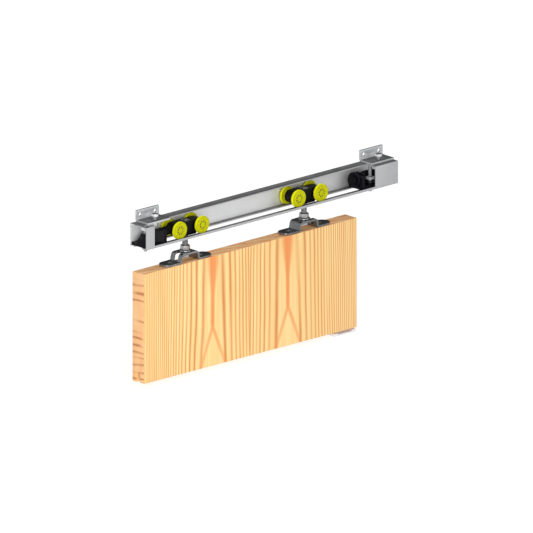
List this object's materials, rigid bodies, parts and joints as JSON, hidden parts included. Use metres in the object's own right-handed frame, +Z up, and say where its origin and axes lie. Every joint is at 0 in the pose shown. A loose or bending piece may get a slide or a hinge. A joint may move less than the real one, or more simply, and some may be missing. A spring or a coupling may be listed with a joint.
{
  "type": "sliding door hardware set",
  "caption": "Sliding barn door hardware: slotted box track on wall brackets, four-wheel trolleys, pendant bolts, hanger plates, end stops, grooved door panel and floor guide.",
  "frame": {"origin": "on the wall plane, at the middle of the track's back face", "axes": "+X along the track towards the open end of the travel, +Y into the wall, +Z up"},
  "size_m": [0.705, 0.05, 0.3698],
  "materials": {
    "track_aluminium": "mill finish extrusion with faint lengthwise die lines",
    "bracket_steel": "zinc plated sheet",
    "zinc_steel": "zinc plated, satin",
    "bright_steel": "bright zinc plated",
    "bearing_steel": "ground bearing steel",
    "dark_steel": "dark passivated steel with bright worn edges",
    "black_plastic": "moulded, fine grain",
    "buffer_rubber": "matt moulded rubber",
    "wheel_plastic": "smooth moulded polymer",
    "pine": "clear sealed pine, grain upright",
    "guide_plastic": "moulded, satin"
  },
  "bodies": {
    "rail": {"track_rail": "track_aluminium", "left_wall_bracket": "bracket_steel", "left_bracket_bolt": "bright_steel", "left_bracket_nut": "zinc_steel", "left_stop_body": "black_plastic", "left_stop_buffer": "buffer_rubber", "left_stop_clamp_screw": "bright_steel", "left_stop_upper_nut": "bright_steel", "left_stop_lower_nut": "dark_steel", "right_wall_bracket": "bracket_steel", "right_bracket_bolt": "bright_steel", "right_bracket_nut": "zinc_steel", "right_stop_body": "black_plastic", "right_stop_buffer": "buffer_rubber", "right_stop_clamp_screw": "bright_steel", "right_stop_upper_nut": "bright_steel", "right_stop_lower_nut": "dark_steel", "floor_guide": "guide_plastic"},
    "carriage": {"left_trolley_body": "black_plastic", "left_trolley_nut": "zinc_steel", "left_axle_a": "bright_steel", "left_axle_b": "bright_steel", "right_trolley_body": "black_plastic", "right_trolley_nut": "zinc_steel", "right_axle_a": "bright_steel", "right_axle_b": "bright_steel"},
    "door": {"door_panel": "pine", "left_hanger_plate": "dark_steel", "left_plate_screw_a": "bright_steel", "left_plate_screw_b": "bright_steel", "left_washer": "zinc_steel", "left_lock_nut": "zinc_steel", "right_hanger_plate": "dark_steel", "right_plate_screw_a": "bright_steel", "right_plate_screw_b": "bright_steel", "right_washer": "zinc_steel", "right_lock_nut": "zinc_steel"},
    "left_bolt": {"left_pendant_bolt": "zinc_steel"},
    "right_bolt": {"right_pendant_bolt": "zinc_steel"},
    "left_wheel_a_front": {"left_wheel_a_front": "wheel_plastic", "left_bearing_a_front": "bearing_steel"},
    "left_wheel_a_back": {"left_wheel_a_back": "wheel_plastic", "left_bearing_a_back": "bearing_steel"},
    "left_wheel_b_front": {"left_wheel_b_front": "wheel_plastic", "left_bearing_b_front": "bearing_steel"},
    "left_wheel_b_back": {"left_wheel_b_back": "wheel_plastic", "left_bearing_b_back": "bearing_steel"},
    "right_wheel_a_front": {"right_wheel_a_front": "wheel_plastic", "right_bearing_a_front": "bearing_steel"},
    "right_wheel_a_back": {"right_wheel_a_back": "wheel_plastic", "right_bearing_a_back": "bearing_steel"},
    "right_wheel_b_front": {"right_wheel_b_front": "wheel_plastic", "right_bearing_b_front": "bearing_steel"},
    "right_wheel_b_back": {"right_wheel_b_back": "wheel_plastic", "right_bearing_b_back": "bearing_steel"}
  },
  "joints": [
    {"name": "door_slide", "type": "slide", "parent": "rail", "child": "carriage", "axis": [1, 0, 0], "range_m": [0, 0.0865]},
    {"name": "height_adjust", "type": "slide", "parent": "carriage", "child": "door", "axis": [0, 0, 1], "range_m": [-0.003, 0.008]},
    {"name": "left_bolt_turn", "type": "hinge", "parent": "door", "child": "left_bolt", "pos_m": [-0.2213, -0.025, -0.061], "axis": [0, 0, 1], "range_deg": [-620, 1650]},
    {"name": "right_bolt_turn", "type": "hinge", "parent": "door", "child": "right_bolt", "pos_m": [0.1117, -0.025, -0.061], "axis": [0, 0, 1], "range_deg": [-620, 1650]},
    {"name": "left_wheel_a_front_spin", "type": "hinge", "parent": "carriage", "child": "left_wheel_a_front", "pos_m": [-0.25255, -0.041, -0.003], "axis": [0, 1, 0], "continuous": true},
    {"name": "left_wheel_a_back_spin", "type": "hinge", "parent": "carriage", "child": "left_wheel_a_back", "pos_m": [-0.25255, -0.009, -0.003], "axis": [0, 1, 0], "continuous": true},
    {"name": "left_wheel_b_front_spin", "type": "hinge", "parent": "carriage", "child": "left_wheel_b_front", "pos_m": [-0.19005, -0.041, -0.003], "axis": [0, 1, 0], "continuous": true},
    {"name": "left_wheel_b_back_spin", "type": "hinge", "parent": "carriage", "child": "left_wheel_b_back", "pos_m": [-0.19005, -0.009, -0.003], "axis": [0, 1, 0], "continuous": true},
    {"name": "right_wheel_a_front_spin", "type": "hinge", "parent": "carriage", "child": "right_wheel_a_front", "pos_m": [0.08045, -0.041, -0.003], "axis": [0, 1, 0], "continuous": true},
    {"name": "right_wheel_a_back_spin", "type": "hinge", "parent": "carriage", "child": "right_wheel_a_back", "pos_m": [0.08045, -0.009, -0.003], "axis": [0, 1, 0], "continuous": true},
    {"name": "right_wheel_b_front_spin", "type": "hinge", "parent": "carriage", "child": "right_wheel_b_front", "pos_m": [0.14295, -0.041, -0.003], "axis": [0, 1, 0], "continuous": true},
    {"name": "right_wheel_b_back_spin", "type": "hinge", "parent": "carriage", "child": "right_wheel_b_back", "pos_m": [0.14295, -0.009, -0.003], "axis": [0, 1, 0], "continuous": true}
  ],
  "couplings": [
    {"joint": "left_bolt_turn", "follows": "height_adjust", "rad_per_m": 3590.4},
    {"joint": "right_bolt_turn", "follows": "height_adjust", "rad_per_m": 3590.4},
    {"joint": "left_wheel_a_front_spin", "follows": "door_slide", "rad_per_m": 54.054},
    {"joint": "left_wheel_a_back_spin", "follows": "door_slide", "rad_per_m": 54.054},
    {"joint": "left_wheel_b_front_spin", "follows": "door_slide", "rad_per_m": 54.054},
    {"joint": "left_wheel_b_back_spin", "follows": "door_slide", "rad_per_m": 54.054},
    {"joint": "right_wheel_a_front_spin", "follows": "door_slide", "rad_per_m": 54.054},
    {"joint": "right_wheel_a_back_spin", "follows": "door_slide", "rad_per_m": 54.054},
    {"joint": "right_wheel_b_front_spin", "follows": "door_slide", "rad_per_m": 54.054},
    {"joint": "right_wheel_b_back_spin", "follows": "door_slide", "rad_per_m": 54.054}
  ]
}
